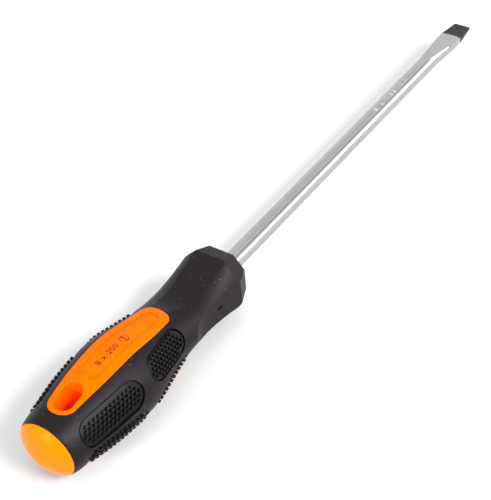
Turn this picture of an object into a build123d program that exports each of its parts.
from build123d import *
import math
import os

# Flat-blade screwdriver with a moulded handle of hard and soft plastic.
# Frame: the origin is the middle of the blade's working edge, +X runs along the
# blade out of the tip, +Z points out of the upper label window. All sizes in mm.

# --- blade --------------------------------------------------------------------
BLADE_LENGTH = 202.0          # handle front face to the working edge
SHANK_RADIUS = 4.0
TANG_LENGTH = 66.0            # part of the bar that the handle grips
TANG_CHAMFER = 1.0
WING_SPAN = 12.0              # pressed wings that stop the bar from turning
WING_THICKNESS = 3.0
WING_LENGTH = 11.0
WING_DEPTHS = (38.0, 54.0)    # behind the handle's front face

# forged widening: distance back from the edge, half width of the oval
FLARE_SECTIONS = ((37.0, 4.0), (30.0, 4.15), (22.0, 4.8), (13.0, 5.25), (-1.0, 5.3))
WEDGE_LENGTH = 49.0           # start of the two flats
WEDGE_MIDDLE = (28.0, 2.65)   # distance back, half thickness
GROUND_LENGTH = 13.0          # ground working end
GROUND_WIDTH = 10.0           # where it starts, and the blade is widest
GROUND_THICKNESS = 2.9
TIP_WIDTH = 7.7
TIP_THICKNESS = 1.2

# --- handle outline -----------------------------------------------------------
# distance behind the front face, half width (Y), half height (Z)
HANDLE_SECTIONS = (
    (0.0, 14.60, 14.55),
    (6.8, 14.50, 14.45),
    (13.5, 14.00, 12.00),
    (20.5, 13.75, 10.05),
    (29.0, 13.40, 9.40),
    (36.0, 13.20, 10.50),
    (43.0, 13.35, 12.25),
    (50.0, 14.50, 13.60),
    (58.0, 16.10, 15.15),
    (67.0, 17.20, 16.20),
    (75.0, 16.95, 15.95),
    (83.0, 16.25, 15.30),
    (91.0, 15.05, 14.25),
    (99.0, 13.60, 13.00),
    (106.3, 11.90, 11.55),
)
HANDLE_LENGTH = HANDLE_SECTIONS[-1][0]      # front face to the end cap's seat
BUTT_HALF_WIDTH = HANDLE_SECTIONS[-1][1]
BUTT_HALF_HEIGHT = HANDLE_SECTIONS[-1][2]
CAP_HEIGHT = 4.6
CUT_REACH = 24.0              # beyond every surface of the handle
OVERRUN = 1.0                 # cutting stock runs this far past the end it trims

# --- facets of the collar and neck -------------------------------------------
COLLAR_DEPTH = 6.8            # length of the faceted front taper
# each facet: distance from the axis at the front face, then (depth, distance);
# the corner facets are only a taper, and run out on the oval body
WINDOW_FACET_FRONT = 10.25
WINDOW_FACET = ((6.8, 12.80), (14.0, 10.25), (24.5, 8.50), (33.0, 9.15), (43.0, 13.2))
SIDE_FACET_FRONT = 10.30
SIDE_FACET = ((6.8, 13.10), (15.0, 12.10), (24.5, 11.35), (31.0, 11.75), (37.0, 13.9))
CORNER_FACET_FRONT = 10.95
CORNER_FACET = ((14.0, 16.20),)
CORNER_FACET_ANGLE = 49.0     # from the window facet's normal

# --- mouldings ----------------------------------------------------------------
SLEEVE_WALL = 2.6             # soft sleeve over the hard core
NECK_WALL = 3.7               # thicker ahead of the swell, where the facets cut in
NECK_LENGTH = 40.0
SPIGOT_RADIUS = 6.0           # end cap's plug in the core
SPIGOT_LENGTH = 5.0
SPIGOT_END_GAP = 0.2
RIM_CHAMFER = 0.35            # at the joint between sleeve and cap

# label window: bare core between the sleeve's edges, above and below
WINDOW_FRONT = 39.7
WINDOW_FRONT_HALF_WIDTH = 6.0
WINDOW_FRONT_BULGE = 1.0
WINDOW_FRONT_RADIUS = 4.0
WINDOW_WIDEST = 68.0
WINDOW_HALF_WIDTH = 7.75
WINDOW_REAR = 100.0
WINDOW_REAR_RADIUS = 5.8
WINDOW_PROUD = 0.15
WINDOW_EDGE_RADIUS = 0.35

# shallow panel for the label inside each window
PANEL_INSET = 3.2
PANEL_DEPTH = 0.45
PANEL_FRONT_RADIUS = 2.4
PANEL_REAR_RADIUS = 0.8
PANEL_EDGE_RADIUS = 0.3

# slot through the core for hanging the tool up
HOLE_FRONT = 86.0
HOLE_REAR = 98.0
HOLE_WIDTH = 7.8
HOLE_LIP_RADIUS = 0.8
HOLE_BOSS_RADIUS = 7.9        # plain ring around the slot's front end

# grip pads: row, station of the middle, length, width, angle from the window
PAD_ROWS = (
    ("rear", 85.6, 29.8, 12.3, 65.3),
    ("front", 53.6, 23.7, 11.2, 62.5),
)
PARTING_WEB = 1.0             # sleeve left standing between upper and lower pockets
PAD_POCKET_DEPTH = 1.5
PAD_FLANGE_DEPTH = 0.9        # top of the pad's flange, below the surface
PAD_GROOVE = 0.45             # groove between the pad's rim and the sleeve
PAD_RIM_DEPTH = 0.1           # plain rim of the pad, below the surface
PAD_FIELD_INSET = 0.8         # from the rim's edge to the knobbly field
PAD_FIELD_HEIGHT = 0.55       # crest of the field, above the surface

# moulding mark on the right side facet
GATE_DEPTH = 0.6
GATE_LENGTH = 2.6
GATE_WIDTH = 0.9
GATE_STATION = 19.0
GATE_HEIGHT = 0.7


def station(depth):
    """X of a point the given distance behind the handle's front face."""
    return -BLADE_LENGTH - depth


def cross_plane(x):
    """Plane across the tool's axis, with local X along Y and local Y along Z."""
    return Plane(origin=(x, 0, 0), x_dir=(0, 1, 0), z_dir=(1, 0, 0))


def bar(radius, front, rear):
    """Round bar on the tool's axis between two X positions."""
    return extrude(cross_plane(rear) * Circle(radius), front - rear)


# --- outside of the handle ----------------------------------------------------
def oval(depth, half_width, half_height, inset):
    """Cross-section of the handle, moved inwards by inset."""
    return cross_plane(station(depth)) * Ellipse(half_width - inset, half_height - inset)


def handle_loft(inset=0.0):
    """Oval handle outline, moved inwards by inset."""
    return loft([oval(*section, inset) for section in HANDLE_SECTIONS])


def core_loft():
    """Outline of the hard core under the sleeve, from the collar back."""
    sections = []
    for section in HANDLE_SECTIONS:
        depth = section[0]
        if depth >= COLLAR_DEPTH:
            wall = NECK_WALL if depth < NECK_LENGTH else SLEEVE_WALL
            sections.append(oval(*section, wall))
    return loft(sections)


def facet_cutter(front_distance, profile, angle):
    """Stock outside one facet: the straight front taper, then any curved stretch on
    the neck. The angle turns the facet about the tool's axis, from +Z."""
    points = [(station(depth), distance) for depth, distance in profile]
    rear_x = points[-1][0]
    nose_x = station(-OVERRUN)
    neck = [Spline(*points)] if len(points) > 1 else []
    outline = Wire([
        *neck,
        Line(points[-1], (rear_x, CUT_REACH)),
        Line((rear_x, CUT_REACH), (nose_x, CUT_REACH)),
        Line((nose_x, CUT_REACH), (nose_x, front_distance)),
        Line((nose_x, front_distance), (station(0.0), front_distance)),
        Line((station(0.0), front_distance), points[0]),
    ])
    slab = extrude(Plane.XZ * make_face(outline), CUT_REACH, both=True)
    return Rot(angle, 0, 0) * slab


def outer_body():
    """Whole outside of the handle, with the octagonal collar and waisted neck."""
    body = handle_loft()
    for angle in (0, 180):
        body -= facet_cutter(WINDOW_FACET_FRONT, WINDOW_FACET, angle)
    for angle in (90, 270):
        body -= facet_cutter(SIDE_FACET_FRONT, SIDE_FACET, angle)
    for half_turn in (0, 180):
        for sign in (1, -1):
            angle = half_turn + sign * CORNER_FACET_ANGLE
            body -= facet_cutter(CORNER_FACET_FRONT, CORNER_FACET, angle)
    return body


# --- label windows and hanging slot -------------------------------------------
def window_outline(front_radius=WINDOW_FRONT_RADIUS):
    """Plan of the label window: a leaf with a blunt front and a round rear end."""
    front_x = station(WINDOW_FRONT + WINDOW_FRONT_BULGE)
    rear_x = station(WINDOW_REAR) + WINDOW_REAR_RADIUS
    front_corner = Vector(front_x, WINDOW_FRONT_HALF_WIDTH)
    rear_corner = Vector(rear_x, WINDOW_REAR_RADIUS)
    side = ThreePointArc(front_corner, (station(WINDOW_WIDEST), WINDOW_HALF_WIDTH), rear_corner)
    nose = ThreePointArc(
        front_corner, (station(WINDOW_FRONT), 0), (front_x, -WINDOW_FRONT_HALF_WIDTH)
    )
    tail = ThreePointArc(rear_corner, (station(WINDOW_REAR), 0), (rear_x, -WINDOW_REAR_RADIUS))
    leaf = make_face([side, nose, mirror(side, about=Plane.XZ), tail])
    front_corners = leaf.vertices().sort_by(Axis.X)[-2:]
    return fillet(front_corners, front_radius)


def panel_outline():
    """Plan of the label panel: the window drawn in, and cut off by the slot's ring."""
    ring_x = station(HOLE_FRONT) - HOLE_WIDTH / 2
    leaf = offset(window_outline(PANEL_INSET + PANEL_FRONT_RADIUS), -PANEL_INSET)
    panel = leaf - Pos(ring_x, 0) * Circle(HOLE_BOSS_RADIUS)
    rear_corners = panel.vertices().sort_by(Axis.X)[:2]
    return fillet(rear_corners, PANEL_REAR_RADIUS)


def hanging_slot():
    """Stock of the slot, right through the handle along Z."""
    middle = (station(HOLE_FRONT) + station(HOLE_REAR)) / 2
    plan = Pos(middle, 0) * SlotOverall(HOLE_REAR - HOLE_FRONT, HOLE_WIDTH)
    return extrude(plan, CUT_REACH, both=True)


def window_island():
    """Raised bare face of the core in the upper window, down to the tool's axis."""
    island = extrude(window_outline(), CUT_REACH) & handle_loft(-WINDOW_PROUD)
    rim = island.faces().sort_by(Axis.Z)[-1].edges()
    island = fillet(rim, WINDOW_EDGE_RADIUS)
    island -= extrude(panel_outline(), CUT_REACH) - handle_loft(PANEL_DEPTH)
    island -= hanging_slot()
    # the island's border has two inner edges, the slot's behind the panel's
    for place, radius in ((0, HOLE_LIP_RADIUS), (-1, PANEL_EDGE_RADIUS)):
        border = max(island.faces(), key=lambda face: len(face.inner_wires()))
        island = fillet(border.inner_wires().sort_by(Axis.X)[place].edges(), radius)
    return island


# --- pieces -------------------------------------------------------------------
def make_blade():
    """Bar with its forged and ground flat tip, and the winged tang."""
    flare = loft([
        cross_plane(-back) * Ellipse(half_width, SHANK_RADIUS)
        for back, half_width in FLARE_SECTIONS
    ])
    shank_front = -FLARE_SECTIONS[0][0]
    tang_end = station(TANG_LENGTH)
    shank = bar(SHANK_RADIUS, shank_front, tang_end)
    shank = chamfer(shank.edges().sort_by(Axis.X)[0], TANG_CHAMFER)
    blade = shank + flare
    blade = blade & wedge_stock() & ground_stock()
    for depth in WING_DEPTHS:
        blade += Pos(station(depth), 0, 0) * Box(WING_LENGTH, WING_SPAN, WING_THICKNESS)
    return blade


def wedge_stock():
    """Side view of the bar: full height, then the two flats that close to the edge."""
    clear = SHANK_RADIUS + OVERRUN
    tang_end = station(TANG_LENGTH + OVERRUN)
    start = (-WEDGE_LENGTH, SHANK_RADIUS)
    middle = (-WEDGE_MIDDLE[0], WEDGE_MIDDLE[1])
    ground = (-GROUND_LENGTH, GROUND_THICKNESS / 2)
    tip = (0, TIP_THICKNESS / 2)
    upper = Wire([
        Line((tang_end, 0), (tang_end, clear)),
        Line((tang_end, clear), (-WEDGE_LENGTH, clear)),
        Line((-WEDGE_LENGTH, clear), start),
        ThreePointArc(start, middle, ground),
        Line(ground, tip),
        Line(tip, (0, 0)),
        Line((0, 0), (tang_end, 0)),
    ])
    half = extrude(Plane.XZ * make_face(upper), 2 * clear, both=True)
    return half + mirror(half, about=Plane.XY)


def ground_stock():
    """Plan of the bar, with the two ground sides of the working end."""
    clear = GROUND_WIDTH
    tang_end = station(TANG_LENGTH + OVERRUN)
    slope = (GROUND_WIDTH - TIP_WIDTH) / 2 / GROUND_LENGTH
    clear_x = -GROUND_LENGTH - (clear - GROUND_WIDTH / 2) / slope
    plan = Polyline(
        (tang_end, -clear), (clear_x, -clear), (0, -TIP_WIDTH / 2),
        (0, TIP_WIDTH / 2), (clear_x, clear), (tang_end, clear), close=True,
    )
    return extrude(make_face(plan), 2 * SHANK_RADIUS, both=True)


def make_core(blade):
    """Hard core moulded round the tang, with both windows and the hanging slot."""
    island = window_island()
    core = core_loft() - hanging_slot()
    core = core + island + mirror(island, about=Plane.XY)
    core -= blade
    core -= bar(
        SPIGOT_RADIUS,
        station(HANDLE_LENGTH - SPIGOT_LENGTH - SPIGOT_END_GAP),
        station(HANDLE_LENGTH),
    )
    return core


def make_end_cap():
    """Oval dome that closes the butt, with its round spigot."""
    dome_radius = (BUTT_HALF_WIDTH ** 2 + CAP_HEIGHT ** 2) / (2 * CAP_HEIGHT)
    seat = station(HANDLE_LENGTH)
    ball = Pos(seat - CAP_HEIGHT + dome_radius, 0, 0) * Sphere(dome_radius)
    dome = ball & Pos(seat - CAP_HEIGHT, 0, 0) * Box(
        2 * CAP_HEIGHT, 2 * CUT_REACH, 2 * CUT_REACH
    )
    dome = scale(dome, by=(1, 1, BUTT_HALF_HEIGHT / BUTT_HALF_WIDTH))
    return dome + bar(SPIGOT_RADIUS, seat + SPIGOT_LENGTH, seat)


def pad_prism(row_station, length, width, angle):
    """Round-ended block that stands out from the tool's axis, on the left above."""
    outwards = Plane(
        origin=(station(row_station), 0, 0), x_dir=(1, 0, 0),
        z_dir=(0, math.sin(math.radians(angle)), math.cos(math.radians(angle))),
    )
    block = extrude(outwards * SlotOverall(length, width), CUT_REACH)
    web = Pos(station(row_station), 0, 0) * Box(
        length, 2 * CUT_REACH, PARTING_WEB + CUT_REACH, align=(Align.CENTER, Align.CENTER, Align.MAX)
    )
    return block - Pos(0, 0, PARTING_WEB / 2) * web


def pad_pocket(row_station, length, width, angle):
    """Stock of a pad's pocket in the sleeve."""
    return pad_prism(row_station, length, width, angle) - handle_loft(PAD_POCKET_DEPTH)


def make_pad(row_station, length, width, angle):
    """Soft grip pad: a flange in its pocket, a plain rim and a raised field."""
    rim_cut = 2 * PAD_GROOVE
    field_cut = rim_cut + 2 * PAD_FIELD_INSET
    flange = pad_prism(row_station, length, width, angle) & handle_loft(PAD_FLANGE_DEPTH)
    rim = pad_prism(row_station, length - rim_cut, width - rim_cut, angle)
    field = pad_prism(row_station, length - field_cut, width - field_cut, angle)
    pad = flange + (rim & handle_loft(PAD_RIM_DEPTH)) + (field & handle_loft(-PAD_FIELD_HEIGHT))
    return pad - handle_loft(PAD_POCKET_DEPTH)


def four_ways(shape):
    """The shape in each quarter of the handle, by the quarter's name."""
    below = mirror(shape, about=Plane.XY)
    return {
        "left_top": shape,
        "left_bottom": below,
        "right_top": mirror(shape, about=Plane.XZ),
        "right_bottom": mirror(below, about=Plane.XZ),
    }


def make_sleeve(pockets):
    """Soft sleeve with the faceted collar, two windows and eight pad pockets."""
    window = extrude(window_outline(), CUT_REACH, both=True)
    sleeve = outer_body() - core_loft() - window
    sleeve -= bar(SHANK_RADIUS, station(-OVERRUN), station(HANDLE_LENGTH))
    for pocket in pockets:
        sleeve -= pocket
    gate_floor = SIDE_FACET[2][1] - GATE_DEPTH
    gate = Box(GATE_LENGTH, CUT_REACH, GATE_WIDTH, align=(Align.CENTER, Align.MAX, Align.CENTER))
    sleeve -= Pos(station(GATE_STATION), -gate_floor, GATE_HEIGHT) * gate
    rear_face = sleeve.faces().sort_by(Axis.X)[0]
    return chamfer(rear_face.outer_wire().edges(), RIM_CHAMFER)


def main():
    os.makedirs("parts", exist_ok=True)
    blade = make_blade()
    nodes = {"blade": blade, "handle_core": make_core(blade), "end_cap": make_end_cap()}
    pockets = []
    for row, *place in PAD_ROWS:
        pockets += four_ways(pad_pocket(*place)).values()
        for quarter, pad in four_ways(make_pad(*place)).items():
            nodes[f"{row}_pad_{quarter}"] = pad
    nodes["grip_sleeve"] = make_sleeve(pockets)
    for name, shape in nodes.items():
        shape.label = name
        export_step(shape, f"parts/{name}.step")


if __name__ == "__main__":
    main()
